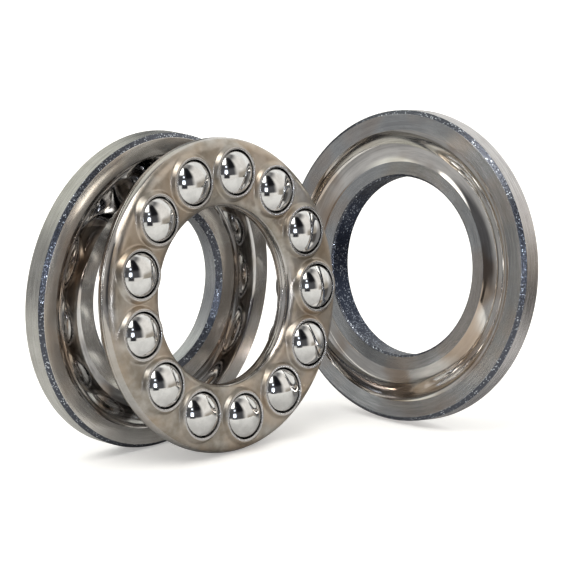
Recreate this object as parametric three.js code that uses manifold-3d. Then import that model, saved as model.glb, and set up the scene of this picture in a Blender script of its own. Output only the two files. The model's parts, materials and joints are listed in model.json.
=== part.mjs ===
// Single-direction thrust ball bearing, taken apart and stood on its rims:
// the shaft washer, the ball and cage set leaning against it, and the housing
// washer standing apart, opened towards them. Millimetres, +Z up.

import * as THREE from 'three';
import { mergeVertices } from 'three/addons/utils/BufferGeometryUtils.js';
import Module from 'manifold-3d';

// ---- Driving dimensions of the bearing ----
const OUTER_DIAMETER = 47;
const SHAFT_BORE = 25;
const HOUSING_BORE = 27;
const ASSEMBLED_HEIGHT = 15;
const BALL_DIAMETER = 7.938;
const BALL_COUNT = 13;
const PITCH_DIAMETER = 36.24;

// ---- Raceway and washer edges ----
const GROOVE_CONFORMITY = 0.54;
const GROOVE_RADIUS = GROOVE_CONFORMITY * BALL_DIAMETER;
const GROOVE_HALF_WIDTH = 2.38;
const OUTER_CHAMFER = 0.62;
const OUTER_BACK_CHAMFER = 0.9;
const SHAFT_BORE_CHAMFERS = { front: 0.77, back: 1.4 };
const HOUSING_BORE_CHAMFERS = { front: 0.3, back: 0.65 };

// ---- Cage, pressed in two halves ----
// A collar round each pocket stands above the sheet's face and holds the ball.
const CAGE_OUTER_DIAMETER = 46.5;
const CAGE_BORE = 26.2;
const CAGE_HEIGHT = 3.64;
const COLLAR_HEIGHT = 2.54;
const SHEET = 0.55;
const CAGE_OUTER_ROUND = 1.65;
const CAGE_INNER_ROUND = 1.5;
const SEAM_GAP = 0.2;
const POCKET_CLEARANCE = 0.2;
const COLLAR_LAND = 0.35;
const COLLAR_EDGE = 0.15;

// ---- Where the three pieces stand ----
// x, y: centre in plan. turn: direction that the raceway side faces, from -Y
// towards +X. lean: how far that side tips up.
const SHAFT_WASHER_PLACE = { x: -18.0, y: -11.1, turn: 45.9, lean: 0 };
const CAGE_PLACE = { x: -9.15, y: -11.6, turn: 45.4, lean: 8.0 };
const HOUSING_WASHER_PLACE = { x: 18.1, y: 4.35, turn: -41.5, lean: 8.2 };
const FIRST_BALL_ANGLE = 22.4;

// ---- Facets ----
const WASHER_FACETS = 48;
const CAGE_FACETS = 4 * BALL_COUNT;
const GROOVE_FACETS = 8;
const ROUND_FACETS = 3;
const BALL_RINGS = 10;
const BALL_SECTORS = 16;
const POCKET_RINGS = 12;
const POCKET_SECTORS = 20;

// ---- Sizes worked out from the above ----
const outerRadius = OUTER_DIAMETER / 2;
const ballRadius = BALL_DIAMETER / 2;
const pitchRadius = PITCH_DIAMETER / 2;
const grooveCentre = Math.sqrt(GROOVE_RADIUS ** 2 - GROOVE_HALF_WIDTH ** 2);
const grooveDepth = GROOVE_RADIUS - grooveCentre;
const landGap = BALL_DIAMETER - 2 * grooveDepth;
const washerThickness = (ASSEMBLED_HEIGHT - landGap) / 2;
const cageRadius = CAGE_OUTER_DIAMETER / 2;
const cageBoreRadius = CAGE_BORE / 2;
const halfCage = CAGE_HEIGHT / 2;
const pocketRadius = ballRadius + POCKET_CLEARANCE;

const radians = THREE.MathUtils.degToRad;
const wasm = await Module();
wasm.setup();

// ---- Materials ----
const steel = (color, roughness, metalness = 1) =>
  new THREE.MeshStandardMaterial({ color, roughness, metalness });
const makeRingSteel = () => steel(0x9d9a93, 0.34);
const makeCageSteel = () => steel(0xa89a84, 0.28);
const makeBallSteel = () => steel(0xe6e6e2, 0.05);

// ---- Solids ----
const WELD_DISTANCE = 1e-4;

function toManifold(geometry) {
  geometry.deleteAttribute('normal');
  geometry.deleteAttribute('uv');
  const welded = mergeVertices(geometry, WELD_DISTANCE);
  return new wasm.Manifold(new wasm.Mesh({
    numProp: 3,
    vertProperties: new Float32Array(welded.attributes.position.array),
    triVerts: new Uint32Array(welded.index.array),
  }));
}

function toGeometry(manifold) {
  const mesh = manifold.getMesh();
  const geometry = new THREE.BufferGeometry();
  geometry.setAttribute('position', new THREE.BufferAttribute(mesh.vertProperties, 3));
  geometry.setIndex(new THREE.BufferAttribute(mesh.triVerts, 1));
  geometry.computeVertexNormals();
  return geometry;
}

// Points of an arc in the (radius, height) half plane, both ends included.
function arc(centreR, centreZ, radius, from, to, facets) {
  return Array.from({ length: facets + 1 }, (_, i) => {
    const angle = radians(from + (to - from) * i / facets);
    return [centreR + radius * Math.cos(angle), centreZ + radius * Math.sin(angle)];
  });
}

// Revolves a closed outline of [radius, height] points, listed anticlockwise,
// about Z. Half a facet of turn puts a flat, not a corner, at the lowest side.
function revolve(outline, facets) {
  const closed = [...outline, outline[0]].map(([r, z]) => new THREE.Vector2(r, z));
  const geometry = new THREE.LatheGeometry(closed, facets);
  geometry.rotateX(Math.PI / 2);
  geometry.rotateZ(Math.PI / facets);
  return geometry;
}

// Raceway side at z = 0 facing +Z, back face at z = -washerThickness.
function washerGeometry(bore, boreChamfers) {
  const r = bore / 2;
  const back = -washerThickness;
  const reach = THREE.MathUtils.radToDeg(Math.asin(GROOVE_HALF_WIDTH / GROOVE_RADIUS));
  const outline = [
    [r, back + boreChamfers.back],
    [r + boreChamfers.back, back],
    [outerRadius - OUTER_BACK_CHAMFER, back],
    [outerRadius, back + OUTER_BACK_CHAMFER],
    [outerRadius, -OUTER_CHAMFER],
    [outerRadius - OUTER_CHAMFER, 0],
    ...arc(pitchRadius, grooveCentre, GROOVE_RADIUS, -90 + reach, -90 - reach, GROOVE_FACETS),
    [r + boreChamfers.front, 0],
    [r, -boreChamfers.front],
  ];
  return revolve(outline, WASHER_FACETS);
}

// The half of the cage that faces +Z: a channel open at the seam, z = 0.
function cageChannelOutline() {
  const [rOut, rIn, top] = [cageRadius, cageBoreRadius, halfCage];
  const [outer, inner] = [CAGE_OUTER_ROUND, CAGE_INNER_ROUND];
  const seam = SEAM_GAP / 2;
  return [
    [rOut - SHEET, seam],
    [rOut, seam],
    ...arc(rOut - outer, top - outer, outer, 0, 90, ROUND_FACETS),
    ...arc(rIn + inner, top - inner, inner, 90, 180, ROUND_FACETS),
    [rIn, seam],
    [rIn + SHEET, seam],
    ...arc(rIn + inner, top - inner, inner - SHEET, 180, 90, ROUND_FACETS),
    ...arc(rOut - outer, top - outer, outer - SHEET, 90, 0, ROUND_FACETS),
  ];
}

const ballAngle = (i) => radians(FIRST_BALL_ANGLE + i * 360 / BALL_COUNT);
const ballCentre = (i) => new THREE.Vector3(
  pitchRadius * Math.cos(ballAngle(i)), pitchRadius * Math.sin(ballAngle(i)), 0);

function pocketTool(i) {
  const sphere = new THREE.SphereGeometry(pocketRadius, POCKET_SECTORS, POCKET_RINGS);
  sphere.rotateX(Math.PI / 2);
  const centre = ballCentre(i);
  return toManifold(sphere.translate(centre.x, centre.y, centre.z));
}

// The collar's outside wraps the ball one sheet away from the pocket's wall.
function collar(i, side) {
  const wall = pocketRadius + SHEET;
  const reach = (z) => Math.sqrt(wall ** 2 - z ** 2);
  const mouth = Math.sqrt(pocketRadius ** 2 - COLLAR_HEIGHT ** 2);
  const shoulder = COLLAR_HEIGHT - COLLAR_EDGE;
  const foot = halfCage - SHEET;
  const outline = [
    [mouth - COLLAR_EDGE, foot],
    [reach(halfCage) - COLLAR_EDGE, foot],
    [reach(halfCage), halfCage - COLLAR_EDGE],
    [reach(shoulder), shoulder],
    [mouth + COLLAR_LAND, COLLAR_HEIGHT],
    [mouth - COLLAR_EDGE, COLLAR_HEIGHT],
  ].map(([r, z]) => [r, side * z]);
  if (side < 0) outline.reverse();
  const centre = ballCentre(i);
  return toManifold(revolve(outline, POCKET_SECTORS).translate(centre.x, centre.y, centre.z));
}

// side is +1 for the half that faces +Z, -1 for its mirror image.
function cageHalfGeometry(side) {
  const outline = cageChannelOutline().map(([r, z]) => [r, side * z]);
  if (side < 0) outline.reverse();
  let half = toManifold(revolve(outline, CAGE_FACETS));
  for (let i = 0; i < BALL_COUNT; i++) half = half.add(collar(i, side));
  for (let i = 0; i < BALL_COUNT; i++) half = half.subtract(pocketTool(i));
  return toGeometry(half);
}

function ballGeometry() {
  return new THREE.SphereGeometry(ballRadius, BALL_SECTORS, BALL_RINGS).rotateX(Math.PI / 2);
}

// ---- Standing a ring on its rim ----
// Local +Z becomes the facing direction, local +Y the ring's upward direction.
// rims lists the ring's outermost [radius, height] corners: the lowest one
// ends up on the floor.
function standOnFloor(group, place, rims, facets) {
  const turn = radians(place.turn);
  const lean = radians(place.lean);
  const facing = new THREE.Vector3(
    Math.sin(turn) * Math.cos(lean), -Math.cos(turn) * Math.cos(lean), Math.sin(lean));
  const sideways = new THREE.Vector3(Math.cos(turn), Math.sin(turn), 0);
  const upward = new THREE.Vector3().crossVectors(facing, sideways);
  group.setRotationFromMatrix(new THREE.Matrix4().makeBasis(sideways, upward, facing));
  const flat = Math.cos(Math.PI / facets);
  const below = rims.map(([r, z]) => r * flat * Math.cos(lean) - z * Math.sin(lean));
  group.position.set(place.x, place.y, Math.max(...below));
}

const washerRims = [
  [outerRadius, -OUTER_CHAMFER],
  [outerRadius, -washerThickness + OUTER_BACK_CHAMFER],
  [outerRadius - OUTER_BACK_CHAMFER, -washerThickness],
];
const cageRims = arc(
  cageRadius - CAGE_OUTER_ROUND, halfCage - CAGE_OUTER_ROUND, CAGE_OUTER_ROUND, 0, 90, ROUND_FACETS,
).map(([r, z]) => [r, -z]);

function named(name, geometry, material) {
  const mesh = new THREE.Mesh(geometry, material);
  mesh.name = name;
  return mesh;
}

// ---- The three pieces of the opened bearing ----
function makeWasher(name, bore, boreChamfers, place) {
  const group = new THREE.Group();
  group.add(named(name, washerGeometry(bore, boreChamfers), makeRingSteel()));
  standOnFloor(group, place, washerRims, WASHER_FACETS);
  return group;
}

function makeBallAndCageSet() {
  const group = new THREE.Group();
  group.add(named('cage_front_half', cageHalfGeometry(1), makeCageSteel()));
  group.add(named('cage_rear_half', cageHalfGeometry(-1), makeCageSteel()));
  for (let i = 0; i < BALL_COUNT; i++) {
    const ball = named(`ball_${String(i + 1).padStart(2, '0')}`, ballGeometry(), makeBallSteel());
    ball.position.copy(ballCentre(i));
    group.add(ball);
  }
  standOnFloor(group, CAGE_PLACE, cageRims, CAGE_FACETS);
  return group;
}

const bearing = new THREE.Group();
bearing.add(makeWasher('shaft_washer', SHAFT_BORE, SHAFT_BORE_CHAMFERS, SHAFT_WASHER_PLACE));
bearing.add(makeBallAndCageSet());
bearing.add(makeWasher(
  'housing_washer', HOUSING_BORE, HOUSING_BORE_CHAMFERS, HOUSING_WASHER_PLACE));

// The origin is the middle of the bearing's footprint, on the floor.
bearing.updateMatrixWorld(true);
const box = new THREE.Box3().setFromObject(bearing, true);
const middle = box.getCenter(new THREE.Vector3());
bearing.position.set(-middle.x, -middle.y, -box.min.z);
bearing.updateMatrixWorld(true);

export default bearing;
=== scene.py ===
"""Looks of an opened thrust ball bearing: two grooved washers and a ball and cage set.

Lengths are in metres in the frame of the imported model, which gives every position. Each
ring is modelled in its own frame: Z is the way the ring faces, X is level, Y runs up it.
"""

import json
import math

import bmesh
import bpy
import numpy as np
from mathutils import Matrix, Vector


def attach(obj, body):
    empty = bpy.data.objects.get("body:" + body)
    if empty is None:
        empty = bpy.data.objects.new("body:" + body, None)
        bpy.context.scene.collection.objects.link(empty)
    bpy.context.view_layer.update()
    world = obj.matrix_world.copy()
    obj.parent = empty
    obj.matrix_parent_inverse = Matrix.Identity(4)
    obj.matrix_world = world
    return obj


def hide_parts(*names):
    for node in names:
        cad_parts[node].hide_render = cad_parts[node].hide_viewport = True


MM = 0.001

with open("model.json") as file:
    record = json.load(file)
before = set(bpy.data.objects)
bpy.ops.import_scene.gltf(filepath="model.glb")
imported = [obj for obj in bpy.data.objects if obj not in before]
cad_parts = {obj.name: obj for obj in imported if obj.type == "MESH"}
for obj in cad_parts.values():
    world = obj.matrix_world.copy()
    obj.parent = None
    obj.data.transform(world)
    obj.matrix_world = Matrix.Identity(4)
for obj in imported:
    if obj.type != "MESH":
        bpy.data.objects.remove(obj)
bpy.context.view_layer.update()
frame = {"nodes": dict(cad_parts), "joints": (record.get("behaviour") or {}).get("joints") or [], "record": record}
joints = {joint["name"]: joint for joint in frame["joints"]}
openings = {opening["name"]: opening for opening in frame["record"]["physics"]["openings"]}
mounts = {mount["name"]: mount for mount in frame["record"]["mounts"]}


# ---- Frames of the rings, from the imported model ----

def ring_frame(centre, facing):
    z = Vector(facing).normalized()
    x = Vector((0, 0, 1)).cross(z).normalized()
    place = Matrix((x, z.cross(x), z)).transposed().to_4x4()
    place.translation = Vector(centre)
    return place


def joint_frame(name):
    return ring_frame(joints[name]["pos_m"], joints[name]["axis"])


def opening_centre(name):
    low, high = openings[name]["box_m"]
    return (Vector(low) + Vector(high)) / 2


def ring_span(node, place):
    """Least and greatest radius, and the thickness, of a CAD ring in its own frame."""
    points = np.array([v.co for v in frame["nodes"][node].data.vertices], float)
    turn = np.array(place.to_3x3())
    local = (points - np.array(place.translation)) @ turn
    radius = np.hypot(local[:, 0], local[:, 1])
    return radius.min(), radius.max(), np.ptp(local[:, 2])


shaft_place = joint_frame("shaft_washer_spin")
cage_place = joint_frame("cage_spin")
housing_place = ring_frame(
    opening_centre("housing_washer_bore"), -Vector(mounts["housing_washer_seat"]["axis"]))
ball_names = sorted(name for name in frame["nodes"] if name.startswith("ball_"))
ball_places = {name: joint_frame(name + "_spin") for name in ball_names}
first_ball = cage_place.inverted() @ ball_places[ball_names[0]].translation
pitch_radius = math.hypot(first_ball.x, first_ball.y)
first_ball_angle = math.atan2(first_ball.y, first_ball.x)


# ---- Camera ----

LENS_MM = 256.2
SENSOR_MM = 36.0
CAMERA_DISTANCE = 0.6
CAMERA_PITCH = math.radians(13.5)
CLIP_START, CLIP_END = 0.01, 20
AIM = Vector((-0.00063, 0.003273, 0.02237))


def make_camera():
    data = bpy.data.cameras.new("camera")
    data.lens = LENS_MM
    data.sensor_width = SENSOR_MM
    data.clip_start = CLIP_START
    data.clip_end = CLIP_END
    camera = bpy.data.objects.new("camera", data)
    bpy.context.scene.collection.objects.link(camera)
    away = Vector((0, -math.cos(CAMERA_PITCH), math.sin(CAMERA_PITCH)))
    camera.location = AIM + away * CAMERA_DISTANCE
    camera.rotation_euler = (math.pi / 2 - CAMERA_PITCH, 0, 0)
    bpy.context.scene.camera = camera


# ---- Mesh making ----

def weighted_normals(mesh):
    """Vertex normals that follow the large faces, so that flats stay flat beside small rounds."""
    faces = len(mesh.polygons)
    normals = np.empty(faces * 3, np.float32)
    areas = np.empty(faces, np.float32)
    mesh.polygons.foreach_get("normal", normals)
    mesh.polygons.foreach_get("area", areas)
    weighted = normals.reshape(-1, 3) * areas[:, None]
    counts = np.empty(faces, np.int32)
    mesh.polygons.foreach_get("loop_total", counts)
    corners = np.empty(len(mesh.loops), np.int32)
    mesh.loops.foreach_get("vertex_index", corners)
    sums = np.zeros((len(mesh.vertices), 3))
    np.add.at(sums, corners, np.repeat(weighted, counts, axis=0))
    sums /= np.maximum(np.linalg.norm(sums, axis=1, keepdims=True), 1e-30)
    return sums


OWN_PLACE = "own_place"
ROUND_MAP = "round"
MAP_PER_MM = 0.02
WELD = 1e-7


def lay_round(mesh, own):
    """A map that runs round the ring, which gives brushed steel its direction."""
    corners = np.empty(len(mesh.loops), np.int32)
    mesh.loops.foreach_get("vertex_index", corners)
    starts = np.empty(len(mesh.polygons), np.int32)
    counts = np.empty(len(mesh.polygons), np.int32)
    mesh.polygons.foreach_get("loop_start", starts)
    mesh.polygons.foreach_get("loop_total", counts)
    angle = np.arctan2(own[:, 1], own[:, 0])[corners]
    first = np.repeat(angle[starts], counts)
    angle = first + (angle - first + math.pi) % (2 * math.pi) - math.pi
    across = np.hypot(own[:, 0], own[:, 1])[corners] + own[:, 2][corners]
    uv = np.column_stack([angle / (2 * math.pi), across / MM * MAP_PER_MM]).astype(np.float32)
    mesh.uv_layers.new(name=ROUND_MAP).data.foreach_set("uv", uv.ravel())


def make_piece(name, points, faces, regions, materials, place, body, node, normals=None):
    """A piece from points in millimetres in its own frame. regions gives each face's material.

    Its mesh ends in the model's frame, and keeps its own frame's places for the materials."""
    mesh = bpy.data.meshes.new(name)
    mesh.from_pydata([tuple(p) for p in np.asarray(points) * MM], [], faces)
    for material in materials:
        mesh.materials.append(material)
    mesh.polygons.foreach_set("material_index", np.asarray(regions, np.int32))
    tool = bmesh.new()
    tool.from_mesh(mesh)
    bmesh.ops.remove_doubles(tool, verts=tool.verts, dist=WELD)
    tool.to_mesh(mesh)
    tool.free()
    mesh.polygons.foreach_set("use_smooth", np.ones(len(mesh.polygons), bool))
    own = np.empty(len(mesh.vertices) * 3, np.float32)
    mesh.vertices.foreach_get("co", own)
    mesh.attributes.new(OWN_PLACE, "FLOAT_VECTOR", "POINT").data.foreach_set("vector", own)
    lay_round(mesh, own.reshape(-1, 3))
    directions = weighted_normals(mesh) if normals is None else normals(mesh)
    mesh.transform(place)
    turn = np.array(place.to_3x3())
    mesh.normals_split_custom_set_from_vertices([tuple(n) for n in directions @ turn.T])
    piece = bpy.data.objects.new(name, mesh)
    bpy.context.scene.collection.objects.link(piece)
    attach(piece, body)
    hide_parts(node)


def rounded(corners, steps=4):
    """A closed outline from corners (radius, height, rounding, region of the edge that follows).

    Returns the points, and the region of the edge that leaves each point."""
    points, regions = [], []
    count = len(corners)
    for i, (r, z, rounding, region) in enumerate(corners):
        corner = np.array((r, z))
        before = np.array(corners[i - 1][:2]) - corner
        after = np.array(corners[(i + 1) % count][:2]) - corner
        before /= np.linalg.norm(before)
        after /= np.linalg.norm(after)
        if rounding == 0:
            points.append(corner)
            regions.append(region)
            continue
        half = math.acos(max(-1.0, min(1.0, float(before @ after)))) / 2
        centre = corner + (before + after) / np.linalg.norm(before + after) * rounding / math.sin(half)
        reach = rounding / math.tan(half)
        start, end = corner + before * reach - centre, corner + after * reach - centre
        sweep = math.pi - 2 * half
        for k in range(steps + 1):
            t = k / steps
            point = (math.sin((1 - t) * sweep) * start + math.sin(t * sweep) * end) / math.sin(sweep)
            points.append(centre + point)
            regions.append(region if k == steps else corners[i - 1][3])
    return np.array(points), regions


def lathe(outline, regions, angles):
    """Turns a closed outline about Z. Listed so that the solid lies to the right of its path."""
    n, m = len(outline), len(angles)
    r, z = outline[:, 0][:, None], outline[:, 1][:, None]
    grid = np.stack([r * np.cos(angles), r * np.sin(angles), z + 0 * angles], axis=2)
    faces, marks = [], []
    for i in range(n):
        below = (i + 1) % n
        for j in range(m):
            beside = (j + 1) % m
            faces.append((i * m + j, below * m + j, below * m + beside, i * m + beside))
            marks.append(regions[i])
    return grid.reshape(-1, 3), faces, marks


# ---- Washers ----

TURNS = 240
LAND, RIM, CHAMFER, RACEWAY, BORE, BACK = range(6)
GROOVE_RADIUS = 4.2865
GROOVE_HALF_WIDTH = 2.38
FRONT_CHAMFER = 0.62
BACK_CHAMFER = 0.9
BORE_CHAMFERS = {"shaft_washer": (0.77, 1.4), "housing_washer": (0.3, 0.65)}
GROOVE_STEPS = 44
EDGE_ROUND = 0.09
LIP_ROUND = 0.1


def make_washer(node, place, materials):
    """A washer: its section with a ball groove, rounded corners and chamfers, turned."""
    bore, outside, thickness = (value / MM for value in ring_span(node, place))
    top, pitch = thickness / 2, pitch_radius / MM
    rise = math.sqrt(GROOVE_RADIUS ** 2 - GROOVE_HALF_WIDTH ** 2)
    reach = math.asin(GROOVE_HALF_WIDTH / GROOVE_RADIUS)
    groove = []
    for k in range(GROOVE_STEPS + 1):
        angle = reach * (2 * k / GROOVE_STEPS - 1)
        rounding = LIP_ROUND if k in (0, GROOVE_STEPS) else 0
        region = LAND if k == GROOVE_STEPS else RACEWAY
        groove.append((pitch + GROOVE_RADIUS * math.sin(angle),
                       top + rise - GROOVE_RADIUS * math.cos(angle), rounding, region))
    bore_front, bore_back = BORE_CHAMFERS[node]
    corners = [
        (bore, -top + bore_back, EDGE_ROUND, BORE),
        (bore, top - bore_front, EDGE_ROUND, CHAMFER),
        (bore + bore_front, top, EDGE_ROUND, LAND),
        *groove,
        (outside - FRONT_CHAMFER, top, EDGE_ROUND, CHAMFER),
        (outside, top - FRONT_CHAMFER, EDGE_ROUND, RIM),
        (outside, -top + BACK_CHAMFER, EDGE_ROUND, CHAMFER),
        (outside - BACK_CHAMFER, -top, EDGE_ROUND, BACK),
        (bore + bore_back, -top, EDGE_ROUND, CHAMFER),
    ]
    outline, regions = rounded(corners)
    angles = np.arange(TURNS) * 2 * math.pi / TURNS
    points, faces, marks = lathe(outline, regions, angles)
    make_piece(node + "_ground", points, faces, marks, materials, place,
               node, node)


# ---- Cage halves, pressed from sheet ----

# The section of a half: a flat face with round edges, and a collar drawn up round each ball.
# A sector's grid runs from its pocket out to the breaks, which lie that far along the round
# edges on the sheet's outside and inside. Plain strips close the edges down to the seam.
FACE_HEIGHT = 1.82
SHEET = 0.55
OUTER_ROUND, OUTER_BREAK, OUTER_BREAK_INSIDE = 1.65, 1.40, 0.95
INNER_ROUND, INNER_BREAK, INNER_BREAK_INSIDE = 1.50, 1.20, 0.80
BALL_RADIUS = 3.969
POCKET_RADIUS = BALL_RADIUS + 0.20
COLLAR_RADIUS = POCKET_RADIUS + SHEET - 0.15
COLLAR_HEIGHT = 2.54
COLLAR_END = 4.40
COLLAR_BLEND, CREST_BLEND = 0.16, 0.06
MOUTH_ROUND = 0.13
FACE, EDGE, LIP = range(3)
SEAM = 0.012
SEAM_ROUND = 0.06
ROUND_STEPS = 7
ARC_STEPS_OUT, ARC_STEPS_IN, SIDE_STEPS = 22, 16, 20
UNDER_STEPS, WALL_STEPS, MOUTH_STEPS, CREST_STEPS, FACE_STEPS = 3, 5, 3, 7, 16
LIP_CREST_STEPS = 3
LIP_ROWS = UNDER_STEPS + WALL_STEPS + MOUTH_STEPS + LIP_CREST_STEPS
CREST_REACH = 4.05
FACE_SPREAD = 1.25
FOOT_PASSES = 12


def arc(centre_r, centre_z, radius, start, end, steps):
    angles = np.radians(np.linspace(start, end, steps + 1))
    return np.stack([centre_r + radius * np.cos(angles), centre_z + radius * np.sin(angles)], axis=1)


def strip(outline, angles):
    """Open strip swept about Z from an open outline."""
    r, z = outline[:, 0][:, None], outline[:, 1][:, None]
    return np.stack([r * np.cos(angles), r * np.sin(angles), z + 0 * angles], axis=2)


def grid_faces(rows, columns, start, wrap):
    last = columns if wrap else columns - 1
    return [(start + i * columns + j, start + (i + 1) * columns + j,
             start + (i + 1) * columns + (j + 1) % columns, start + i * columns + (j + 1) % columns)
            for i in range(rows - 1) for j in range(last)]


def sheet_height(r, inset):
    """Height of the round-edged sheet without its collars, inset below its outer surface."""
    outside, bore = cage_radii
    beyond_out = np.maximum(r - (outside - OUTER_ROUND), 0)
    beyond_in = np.maximum(bore + INNER_ROUND - r, 0)
    out = FACE_HEIGHT - OUTER_ROUND + np.sqrt((OUTER_ROUND - inset) ** 2 - beyond_out ** 2)
    inwards = FACE_HEIGHT - INNER_ROUND + np.sqrt((INNER_ROUND - inset) ** 2 - beyond_in ** 2)
    return np.where(beyond_in > 0, inwards, out)


def collar_height(distance):
    """Height of a collar at a distance from its pocket's axis: a sphere cut off at its crest."""
    within = np.minimum(distance, COLLAR_END)
    dome = np.sqrt(COLLAR_RADIUS ** 2 - within ** 2)
    dome = dome - (distance - within) * COLLAR_END / math.sqrt(COLLAR_RADIUS ** 2 - COLLAR_END ** 2)
    return -CREST_BLEND * np.logaddexp(-dome / CREST_BLEND, -COLLAR_HEIGHT / CREST_BLEND)


def face_height(spot):
    """Height of a half's outer surface over a spot of the first sector."""
    pitch, sector = pitch_radius / MM, 2 * math.pi / len(ball_names)
    height = sheet_height(np.linalg.norm(spot, axis=-1), 0) / COLLAR_BLEND
    for turn in (-sector, 0, sector):
        centre = (pitch * math.cos(turn), pitch * math.sin(turn))
        collar = collar_height(np.linalg.norm(spot - centre, axis=-1))
        height = np.logaddexp(height, collar / COLLAR_BLEND)
    return height * COLLAR_BLEND


def sector_rim(low, high):
    """Edge of a sector between two radii, in the order of the pocket's columns."""
    half = math.pi / len(ball_names)
    sides = np.linspace(high, low, SIDE_STEPS + 1)[:-1]
    across = np.linspace(-half, half, ARC_STEPS_OUT + 1)[:-1]
    back = np.linspace(half, -half, ARC_STEPS_IN + 1)[:-1]
    radius = np.concatenate([np.full_like(across, high), sides, np.full_like(back, low),
                             sides[::-1] - (high - low) / SIDE_STEPS])
    angle = np.concatenate([across, np.full_like(sides, half), back, np.full_like(sides, -half)])
    return np.column_stack([radius * np.cos(angle), radius * np.sin(angle)])


def pocket_chain(under_rim, face_rim):
    """Points from the sheet's underside, up a pocket's wall, over its collar and out on the face."""
    centre = np.array((pitch_radius / MM, 0.0))
    under_reach = np.linalg.norm(under_rim - centre, axis=1, keepdims=True)
    face_reach = np.linalg.norm(face_rim - centre, axis=1, keepdims=True)
    under_way, face_way = (under_rim - centre) / under_reach, (face_rim - centre) / face_reach
    foot = np.full_like(under_reach, POCKET_RADIUS)
    for _ in range(FOOT_PASSES):
        depth = sheet_height(np.linalg.norm(centre + under_way * foot, axis=1), SHEET)
        foot = np.sqrt(POCKET_RADIUS ** 2 - depth[:, None] ** 2)
    rows = []
    for t in np.linspace(1, 0, UNDER_STEPS + 1):
        spot = centre + under_way * (foot + (under_reach - foot) * t)
        rows.append(np.column_stack([spot, sheet_height(np.linalg.norm(spot, axis=1), SHEET)]))
    wall_foot, wall_top = rows[-1][:, 2], COLLAR_HEIGHT - MOUTH_ROUND
    for t in np.linspace(0, 1, WALL_STEPS + 1)[1:]:
        z = wall_foot + (wall_top - wall_foot) * t
        way = under_way * (1 - t) + face_way * t
        way = way / np.linalg.norm(way, axis=1, keepdims=True)
        rows.append(np.column_stack([centre + way * np.sqrt(POCKET_RADIUS ** 2 - z ** 2)[:, None], z]))
    mouth = math.sqrt(POCKET_RADIUS ** 2 - wall_top ** 2)
    for k in range(1, MOUTH_STEPS + 1):
        angle = math.pi / 2 * k / MOUTH_STEPS
        spot = centre + face_way * (mouth + MOUTH_ROUND * (1 - math.cos(angle)))
        z = wall_top + (face_height(spot) - wall_top) * math.sin(angle)
        rows.append(np.column_stack([spot, z]))
    steps = [np.full_like(face_reach, reach)
             for reach in np.linspace(mouth + MOUTH_ROUND, CREST_REACH, CREST_STEPS + 1)[1:]]
    steps += [CREST_REACH + (face_reach - CREST_REACH) * t ** FACE_SPREAD
              for t in np.linspace(0, 1, FACE_STEPS + 1)[1:]]
    for reach in steps:
        spot = centre + face_way * reach
        rows.append(np.column_stack([spot, face_height(spot)]))
    return np.array(rows)


def cage_half_mesh():
    """Points, faces and regions of the half that faces forward, one sector for each ball."""
    outside, bore = cage_radii
    half = math.pi / len(ball_names)
    out_r, out_z = outside - OUTER_ROUND, FACE_HEIGHT - OUTER_ROUND
    in_r, in_z = bore + INNER_ROUND, FACE_HEIGHT - INNER_ROUND
    chain = pocket_chain(sector_rim(in_r - INNER_BREAK_INSIDE, out_r + OUTER_BREAK_INSIDE),
                         sector_rim(in_r - INNER_BREAK, out_r + OUTER_BREAK))

    def leaving(reach, radius):
        return math.degrees(math.acos(reach / radius))

    outer = np.vstack([
        arc(out_r, out_z, OUTER_ROUND, leaving(OUTER_BREAK, OUTER_ROUND), 0, ROUND_STEPS)[1:],
        arc(outside - SEAM_ROUND, SEAM + SEAM_ROUND, SEAM_ROUND, 0, -90, 4),
        arc(outside - SHEET + SEAM_ROUND / 2, SEAM + SEAM_ROUND / 2, SEAM_ROUND / 2, -90, -180, 2),
        arc(out_r, out_z, OUTER_ROUND - SHEET, 0,
            leaving(OUTER_BREAK_INSIDE, OUTER_ROUND - SHEET), 4)[:-1]])
    inner = np.vstack([
        arc(in_r, in_z, INNER_ROUND - SHEET,
            180 - leaving(INNER_BREAK_INSIDE, INNER_ROUND - SHEET), 180, 4)[1:],
        arc(bore + SHEET - SEAM_ROUND / 2, SEAM + SEAM_ROUND / 2, SEAM_ROUND / 2, 0, -90, 2),
        arc(bore + SEAM_ROUND, SEAM + SEAM_ROUND, SEAM_ROUND, -90, -180, 4),
        arc(in_r, in_z, INNER_ROUND, 180, 180 - leaving(INNER_BREAK, INNER_ROUND), ROUND_STEPS)[:-1]])
    out_columns = np.arange(ARC_STEPS_OUT + 1)
    in_columns = ARC_STEPS_OUT + SIDE_STEPS + np.arange(ARC_STEPS_IN + 1)[::-1]
    outer_strip = strip(outer, np.linspace(-half, half, ARC_STEPS_OUT + 1))
    inner_strip = strip(inner, np.linspace(-half, half, ARC_STEPS_IN + 1))
    parts = [
        (chain, True),
        (np.concatenate([chain[-1:, out_columns], outer_strip, chain[:1, out_columns]]), False),
        (np.concatenate([chain[:1, in_columns], inner_strip, chain[-1:, in_columns]]), False)]
    points, faces, marks, start = [], [], [], 0
    for i in range(len(ball_names)):
        turn = np.array(Matrix.Rotation(first_ball_angle + i * 2 * half, 3, "Z"))
        for grid, wrap in parts:
            rows, columns = grid.shape[:2]
            points.append(grid.reshape(-1, 3) @ turn.T)
            faces += grid_faces(rows, columns, start, wrap)
            marks += [LIP] * LIP_ROWS * columns if wrap else []
            marks += [FACE if wrap else EDGE] * (len(faces) - len(marks))
            start += rows * columns
    return np.vstack(points), faces, marks


def make_cage_half(node, side, materials):
    """side is 1 for the half that faces forward and -1 for its mirror image behind it."""
    points, faces, marks = cage_half_mesh()
    if side < 0:
        points = points * (1, 1, -1)
        faces = [face[::-1] for face in faces]
    make_piece(node + "_pressed", points, faces, marks, materials,
               cage_place, "cage", node)


# ---- Balls ----

BALL_CUTS = 28


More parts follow.
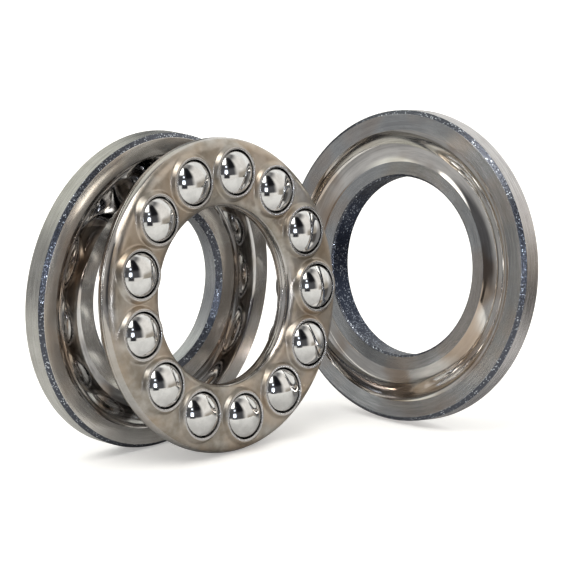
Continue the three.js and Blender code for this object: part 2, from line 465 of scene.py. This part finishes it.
def ball_mesh():
    """A round cube: even faces all over, with no poles."""
    steps = np.tan(np.linspace(-math.pi / 4, math.pi / 4, BALL_CUTS + 1))
    u, v = np.meshgrid(steps, steps, indexing="ij")
    one = np.ones_like(u)
    sides = [(u, v, one), (v, u, -one), (one, u, v), (-one, v, u), (v, one, u), (u, -one, v)]
    points, faces = [], []
    rows = BALL_CUTS + 1
    for index, side in enumerate(sides):
        grid = np.stack(side, axis=2)
        grid = grid / np.linalg.norm(grid, axis=2, keepdims=True) * BALL_RADIUS
        faces += grid_faces(rows, rows, index * rows ** 2, False)
        points.append(grid.reshape(-1, 3))
    return np.vstack(points), faces


def radial_normals(mesh):
    points = np.empty(len(mesh.vertices) * 3)
    mesh.vertices.foreach_get("co", points)
    points = points.reshape(-1, 3)
    return points / np.linalg.norm(points, axis=1, keepdims=True)


def make_ball(node, material):
    points, faces = ball_mesh()
    make_piece(node + "_lapped", points, faces, np.zeros(len(faces)), [material],
               ball_places[node], node, node, radial_normals)


# ---- Procedural steel ----

class Shade:
    """A short way to write a material's or a world's nodes."""

    def __init__(self, tree):
        self.tree = tree

    def node(self, kind, inputs=(), out=0, **settings):
        made = self.tree.nodes.new(kind)
        for key, value in settings.items():
            setattr(made, key, value)
        for key, value in dict(inputs).items():
            if isinstance(value, bpy.types.NodeSocket):
                self.tree.links.new(value, made.inputs[key])
            else:
                made.inputs[key].default_value = value
        return made.outputs[out] if made.outputs else None

    def math(self, operation, a, b=0.0):
        return self.node("ShaderNodeMath", {0: a, 1: b}, operation=operation)

    def ramp(self, value, low, high, to_low=0.0, to_high=1.0, smooth=True):
        return self.node("ShaderNodeMapRange",
                         {"Value": value, "From Min": low, "From Max": high,
                          "To Min": to_low, "To Max": to_high},
                         interpolation_type="SMOOTHSTEP" if smooth else "LINEAR")

    def noise(self, vector, scale, detail=2.0, rough=0.5):
        return self.node("ShaderNodeTexNoise",
                         {"Vector": vector, "Scale": scale, "Detail": detail, "Roughness": rough})

    def mix(self, factor, a, b):
        made = self.tree.nodes.new("ShaderNodeMix")
        made.data_type = "RGBA"
        for index, value in ((0, factor), (6, a), (7, b)):
            if isinstance(value, bpy.types.NodeSocket):
                self.tree.links.new(value, made.inputs[index])
            else:
                made.inputs[index].default_value = value
        return made.outputs[2]

    def position(self):
        return self.node("ShaderNodeAttribute", out=1, attribute_name=OWN_PLACE)

    def lay(self, across, along):
        """A vector for marks that run round the ring: across and along set how fine they are."""
        place = self.position()
        x, y, z = (self.node("ShaderNodeSeparateXYZ", {0: place}, out=i) for i in range(3))
        flat = self.node("ShaderNodeCombineXYZ", {0: x, 1: y})
        radius = self.node("ShaderNodeVectorMath", {0: flat}, out=1, operation="LENGTH")
        unit = self.node("ShaderNodeVectorMath", {0: flat}, operation="NORMALIZE")
        ux, uy = (self.node("ShaderNodeSeparateXYZ", {0: unit}, out=i) for i in range(2))
        lateral = self.math("MULTIPLY", self.math("ADD", radius, z), across)
        return self.node("ShaderNodeCombineXYZ", {0: lateral, 1: self.math("MULTIPLY", ux, along),
                                                  2: self.math("MULTIPLY", uy, along)})

    def bump(self, height, strength, depth, normal=None):
        inputs = {"Height": height, "Strength": strength, "Distance": depth}
        if normal is not None:
            inputs["Normal"] = normal
        return self.node("ShaderNodeBump", inputs)


def steel(name, base, roughness, normal, anisotropic=0.0, metallic=1.0):
    """A material from functions of a Shade that give its colour, roughness and normal."""
    material = bpy.data.materials.new(name)
    material.use_nodes = True
    tree = material.node_tree
    tree.nodes.clear()
    shade = Shade(tree)
    inputs = {"Metallic": metallic, "Base Color": base(shade),
              "Roughness": roughness(shade), "Normal": normal(shade)}
    if anisotropic:
        inputs["Anisotropic"] = anisotropic
        inputs["Tangent"] = shade.node("ShaderNodeTangent", direction_type="UV_MAP", uv_map=ROUND_MAP)
    surface = shade.node("ShaderNodeBsdfPrincipled", inputs)
    shade.node("ShaderNodeOutputMaterial", {0: surface})
    return material


def tint(r, g, b):
    return (r, g, b, 1.0)


WARM_FILM = tint(0.46, 0.32, 0.21)
HEAT_TINT = tint(0.56, 0.42, 0.29)


def ground_steel(name, light, dark, rough, grain, anisotropic, stain=250, metallic=1.0, warm=0.0):
    """Ground or turned steel: marks run round the ring, with faint stains and a warm film."""
    def base(s):
        marks = s.noise(s.lay(3200, 3.0), 1.0, 3.0, 0.6)
        clouds = s.noise(s.position(), stain, 3.0, 0.55)
        both = s.math("ADD", s.math("MULTIPLY", marks, 0.6), s.math("MULTIPLY", clouds, 0.4))
        ground = s.mix(s.ramp(both, 0.36, 0.62), dark, light)
        film = s.ramp(s.noise(s.position(), 110, 2.0, 0.5), 0.44, 0.64, 0.0, warm)
        return s.mix(film, ground, WARM_FILM)

    def roughness(s):
        marks = s.noise(s.lay(5200, 5.0), 1.0, 2.0, 0.6)
        return s.ramp(marks, 0.3, 0.7, rough * 0.8, rough * 1.25)

    def normal(s):
        fine = s.noise(s.lay(7000, 7.0), 1.0, 2.0, 0.6)
        wide = s.noise(s.lay(1600, 2.0), 1.0, 1.0, 0.5)
        height = s.math("ADD", fine, s.math("MULTIPLY", wide, 1.4))
        return s.bump(height, grain, 0.00002)

    return steel(name, base, roughness, normal, anisotropic, metallic)


def scale_steel(name, light, dark, rough, grain):
    """Unground chamfers: dark scale from hardening over coarse turning marks, with bright specks."""
    def base(s):
        specks = s.node("ShaderNodeTexVoronoi", {"Vector": s.position(), "Scale": 3000.0})
        worn = s.noise(s.position(), 700, 4.0, 0.65)
        bright = s.math("MULTIPLY", s.ramp(specks, 0.42, 0.18), s.ramp(worn, 0.42, 0.56))
        return s.mix(bright, dark, light)

    def roughness(s):
        return s.ramp(s.noise(s.position(), 2600, 3.0, 0.6), 0.3, 0.7, rough * 0.7, rough * 1.4)

    def normal(s):
        pits = s.noise(s.position(), 1900, 5.0, 0.7)
        turned = s.noise(s.lay(4200, 14.0), 1.0, 2.0, 0.6)
        return s.bump(s.math("ADD", pits, s.math("MULTIPLY", turned, 0.6)), grain, 0.00014)

    return steel(name, base, roughness, normal)


def pressed_steel(name, smooth, rough, heated, dark, light):
    """Cage sheet, tumbled: soft stains, heat tint, fine random scratches and small dents."""
    def base(s):
        clouds = s.noise(s.position(), 130, 4.0, 0.55)
        film = s.noise(s.position(), 620, 3.0, 0.6)
        both = s.math("ADD", s.math("MULTIPLY", clouds, 0.65), s.math("MULTIPLY", film, 0.35))
        sheet = s.mix(s.ramp(both, 0.36, 0.64), dark, light)
        heat = s.ramp(s.noise(s.position(), 150, 2.0, 0.5), 0.42, 0.62, 0.0, heated)
        return s.mix(heat, sheet, HEAT_TINT)

    def roughness(s):
        clouds = s.noise(s.position(), 380, 4.0, 0.6)
        scratches = s.noise(s.lay(900, 60.0), 1.0, 3.0, 0.7)
        both = s.math("ADD", s.math("MULTIPLY", clouds, 0.6), s.math("MULTIPLY", scratches, 0.4))
        return s.ramp(both, 0.3, 0.7, smooth, rough)

    def normal(s):
        dents = s.noise(s.position(), 420, 2.0, 0.5)
        fine = s.noise(s.position(), 3600, 3.0, 0.6)
        soft = s.bump(dents, 0.25, 0.00012)
        return s.bump(fine, 0.12, 0.00002, soft)

    return steel(name, base, roughness, normal)


def lapped_steel(name):
    """Ball finish: a mirror with a faint haze of lapping scratches."""
    def base(s):
        haze = s.noise(s.position(), 700, 4.0, 0.6)
        return s.mix(s.ramp(haze, 0.35, 0.65), tint(0.74, 0.735, 0.725), tint(0.86, 0.855, 0.845))

    def roughness(s):
        haze = s.noise(s.position(), 1500, 3.0, 0.6)
        return s.ramp(haze, 0.35, 0.7, 0.05, 0.11)

    def normal(s):
        strokes = s.node("ShaderNodeMapping", {
            "Vector": s.position(), "Rotation": (0.5, 0.8, 0.3), "Scale": (9000, 900, 2500)})
        return s.bump(s.noise(strokes, 1.0, 2.0, 0.6), 0.05, 0.00001)

    return steel(name, base, roughness, normal)


def washer_materials(prefix, bore_material, land, rim, raceway):
    """A washer's materials in the order of its regions. land, rim and raceway are pairs of tints."""
    return [
        ground_steel(prefix + "_land", *land, rough=0.17, grain=0.15, anisotropic=0.7,
                     metallic=0.75, warm=0.3),
        ground_steel(prefix + "_rim", *rim, rough=0.24, grain=0.2, anisotropic=0.88),
        scale_steel(prefix + "_chamfer", tint(0.76, 0.81, 0.88), tint(0.105, 0.112, 0.135), 0.22, 0.5),
        ground_steel(prefix + "_raceway", *raceway, rough=0.06, grain=0.07, anisotropic=0.4,
                     stain=160, warm=0.7),
        bore_material,
        ground_steel(prefix + "_back", *land, rough=0.24, grain=0.35, anisotropic=0.55),
    ]


# ---- Floor and studio light ----

FLOOR_DROP = 0.00006
FLOOR_LEFT, FLOOR_RIGHT, FLOOR_FRONT, FLOOR_BACK = -0.19, 0.15, -0.105, 2.6
SHADE_REACH = 0.05

# Steel mirrors a dimmer sheet than the camera sees, and none of it behind SHEET_END: painted shade for the floor
# round and behind the rings.
SHEET_END, SHEET_FADE = -0.004, 0.010
PAPER_SEEN = (tint(0.80, 0.79, 0.77), tint(0.86, 0.85, 0.83))
PAPER_MIRRORED = tint(0.68, 0.675, 0.665)
GLOW_TINT = tint(1.0, 0.985, 0.965)
GLOW_SHADED, GLOW_SEEN, GLOW_MIRRORED = 0.30, 0.66, 0.22


def make_floor():
    mesh = bpy.data.meshes.new("floor")
    corners = [(FLOOR_LEFT, FLOOR_FRONT), (FLOOR_RIGHT, FLOOR_FRONT),
               (FLOOR_RIGHT, FLOOR_BACK), (FLOOR_LEFT, FLOOR_BACK)]
    mesh.from_pydata([(x, y, -FLOOR_DROP) for x, y in corners], [], [(0, 1, 2, 3)])
    floor = bpy.data.objects.new("floor", mesh)
    bpy.context.scene.collection.objects.link(floor)
    material = bpy.data.materials.new("pale_floor")
    material.use_nodes = True
    tree = material.node_tree
    tree.nodes.clear()
    s = Shade(tree)
    paper = s.mix(s.noise(s.node("ShaderNodeTexCoord", out=3), 60, 2.0), *PAPER_SEEN)
    # The floor's glow dims where the object shuts out the sky, a painted contact shadow, and the mirrored glow
    # dims further.
    open_sky = s.node("ShaderNodeAmbientOcclusion", {"Distance": SHADE_REACH}, out=1, samples=8)
    deep = s.ramp(open_sky, 0.35, 1.0, 0.0, GLOW_MIRRORED)
    seen = s.ramp(open_sky, 0.0, 0.9, GLOW_SHADED, GLOW_SEEN)
    camera_ray = s.node("ShaderNodeLightPath")
    paper = s.mix(camera_ray, PAPER_MIRRORED, paper)
    glow = s.node("ShaderNodeMix", {0: camera_ray, 2: deep, 3: seen})
    surface = s.node("ShaderNodeBsdfPrincipled", {
        "Base Color": paper, "Roughness": 0.9, "Specular IOR Level": 0.1,
        "Emission Color": GLOW_TINT, "Emission Strength": glow})
    along = s.node("ShaderNodeSeparateXYZ", {0: s.node("ShaderNodeTexCoord", out=3)}, out=1)
    past_end = s.ramp(along, SHEET_END, SHEET_END + SHEET_FADE)
    beyond = s.math("MULTIPLY", past_end, s.math("SUBTRACT", 1.0, camera_ray))
    clear = s.node("ShaderNodeBsdfTransparent")
    sheet_end = s.node("ShaderNodeMixShader", {0: beyond, 1: surface, 2: clear})
    s.node("ShaderNodeOutputMaterial", {0: sheet_end})
    mesh.materials.append(material)


# A room round the object: azimuth from the front towards the right, then elevation, both in
# degrees, then how soft the patch's edge is and its light. Each patch covers those before it,
# and an edge at 181 degrees round or 90 degrees up or down is left open.
ROOM = [
    ((-181, 181), (-90, -2), 2, (0.84, 0.82, 0.78)),
    ((50, 130), (-90, 60), 12, (0.86, 0.83, 0.78)),
    ((60, 124), (-30, 8), 8, (0.36, 0.325, 0.275)),
    ((84, 124), (-34, -9), 3, (0.08, 0.075, 0.07)),
    ((118, 181), (-2, 90), 12, (0.93, 0.93, 0.90)),
    ((118, 181), (-90, -2), 8, (0.22, 0.215, 0.21)),
    ((-181, -118), (-2, 90), 12, (0.16, 0.17, 0.18)),
    ((-181, -118), (-90, -2), 8, (0.22, 0.215, 0.21)),
    ((-130, -58), (-2, 58), 12, (0.43, 0.43, 0.43)),
    ((-181, -100), (26, 72), 8, (0.86, 0.87, 0.81)),
    ((-130, -29), (-60, 0), 5, (0.30, 0.30, 0.30)),
    ((-29, -17), (-40, 0), 3, (0.05, 0.05, 0.05)),
    ((-17, -4), (-40, 0), 3, (0.70, 0.70, 0.68)),
    ((-4, 20), (-15, 0), 3, (0.03, 0.03, 0.035)),
    ((-181, 181), (72, 90), 8, (0.32, 0.31, 0.30)),
    ((-70, 4), (46, 78), 6, (3.9, 3.9, 3.75)),
    ((-26, -8), (58, 72), 4, (7.0, 7.0, 6.8)),
    ((14, 50), (26, 76), 7, (0.010, 0.010, 0.012)),
    ((0, 11), (6, 20), 3, (3.2, 3.5, 4.0)),
    ((2, 9), (32, 38), 2.5, (2.4, 2.6, 3.0)),
    ((4.5, 7.5), (6.5, 9.5), 0.5, (60.0, 64.0, 70.0)),
]
OPEN_EDGES = (90, 181)
FRONT_LIGHT = (0.08, 0.08, 0.085)
BACKDROP = (1.05, 1.05, 1.05)


def make_room():
    world = bpy.data.worlds.new("studio")
    bpy.context.scene.world = world
    world.use_nodes = True
    tree = world.node_tree
    tree.nodes.clear()
    s = Shade(tree)
    way = s.node("ShaderNodeTexCoord")
    x, y, z = (s.node("ShaderNodeSeparateXYZ", {0: way}, out=i) for i in range(3))
    to_degrees = 180 / math.pi
    azimuth = s.math("MULTIPLY", s.math("ARCTAN2", x, s.math("MULTIPLY", y, -1.0)), to_degrees)
    elevation = s.math("MULTIPLY", s.math("ARCSINE", z), to_degrees)
    light = tint(*FRONT_LIGHT)
    for (left, right), (low, high), soft, colour in ROOM:
        mask = None
        for value, edge, sign in ((azimuth, left, 1), (azimuth, right, -1),
                                  (elevation, low, 1), (elevation, high, -1)):
            if abs(edge) in OPEN_EDGES:
                continue
            side = s.ramp(value, edge - soft, edge + soft, 0.5 - 0.5 * sign, 0.5 + 0.5 * sign)
            mask = side if mask is None else s.math("MULTIPLY", mask, side)
        light = s.mix(mask, light, tint(*colour))
    seen = s.node("ShaderNodeLightPath")
    shown = s.mix(seen, light, tint(*BACKDROP))
    background = s.node("ShaderNodeBackground", {"Color": shown, "Strength": 1.0})
    s.node("ShaderNodeOutputWorld", {0: background})


# ---- The bearing ----

make_camera()
bpy.context.scene.view_settings.view_transform = "Standard"
make_floor()
make_room()

# The shaft washer's land tints are much lighter than the housing washer's: painted light on the same ground steel.
SHAFT_LAND_PAINTED_LIGHT = (tint(0.90, 0.87, 0.82), tint(0.76, 0.73, 0.69))
HOUSING_LAND = (tint(0.53, 0.54, 0.55), tint(0.39, 0.40, 0.41))
SHAFT_RIM = (tint(0.60, 0.59, 0.56), tint(0.45, 0.44, 0.41))
HOUSING_RIM = (tint(0.68, 0.66, 0.66), tint(0.52, 0.50, 0.50))
# The shaft washer's raceway tints run much darker than the housing washer's: painted shade of the gap between that
# groove and the cage, over the raceway's random mottle.
SHAFT_RACEWAY_PAINTED_SHADE = (tint(0.72, 0.71, 0.70), tint(0.32, 0.31, 0.31))
HOUSING_RACEWAY = (tint(0.88, 0.85, 0.81), tint(0.70, 0.68, 0.65))
# The housing bore tints, near-black with bluish specks, put the chamfers' scale finish under painted shade: the
# bore is tinted as dark as the surroundings it mirrors.
HOUSING_BORE_PAINTED_SHADE = (tint(0.40, 0.45, 0.54), tint(0.022, 0.03, 0.055))
CAGE_FACE = (tint(0.34, 0.30, 0.25), tint(0.60, 0.57, 0.53))
CAGE_EDGE = (tint(0.48, 0.46, 0.43), tint(0.64, 0.62, 0.60))
CAGE_LIP = (tint(0.54, 0.53, 0.53), tint(0.70, 0.69, 0.69))
# The rear cage half's tints are far darker than the front half's: painted shade, since the rear half sits in the
# shade between the washers.
CAGE_BACK_PAINTED_SHADE = (tint(0.14, 0.13, 0.12), tint(0.26, 0.25, 0.24))

shaft_bore = ground_steel("shaft_washer_bore", *HOUSING_LAND, rough=0.30, grain=0.35, anisotropic=0.55)
shaft_steel = washer_materials("shaft_washer", shaft_bore, SHAFT_LAND_PAINTED_LIGHT, SHAFT_RIM, SHAFT_RACEWAY_PAINTED_SHADE)
make_washer("shaft_washer", shaft_place, shaft_steel)

housing_bore = scale_steel("housing_washer_bore", *HOUSING_BORE_PAINTED_SHADE, 0.24, 0.7)
housing_steel = washer_materials("housing_washer", housing_bore, HOUSING_LAND, HOUSING_RIM,
                                 HOUSING_RACEWAY)
make_washer("housing_washer", housing_place, housing_steel)

cage_bore, cage_outside, _ = ring_span("cage_front_half", cage_place)
cage_radii = (cage_outside / MM, cage_bore / MM)
cage_face = pressed_steel("cage_face", 0.28, 0.44, 0.45, *CAGE_FACE)
cage_edge = pressed_steel("cage_edge", 0.09, 0.18, 0.20, *CAGE_EDGE)
cage_lip = pressed_steel("cage_lip", 0.20, 0.32, 0.0, *CAGE_LIP)
# The rear half's sheet is a darker copy of the face's sheet: painted shade.
cage_back_painted_shade = pressed_steel("cage_back_painted_shade", 0.28, 0.44, 0.20, *CAGE_BACK_PAINTED_SHADE)
make_cage_half("cage_front_half", 1, [cage_face, cage_edge, cage_lip])
make_cage_half("cage_rear_half", -1, [cage_back_painted_shade, cage_edge, cage_lip])

mirror = lapped_steel("ball_mirror")
for ball_name in ball_names:
    make_ball(ball_name, mirror)
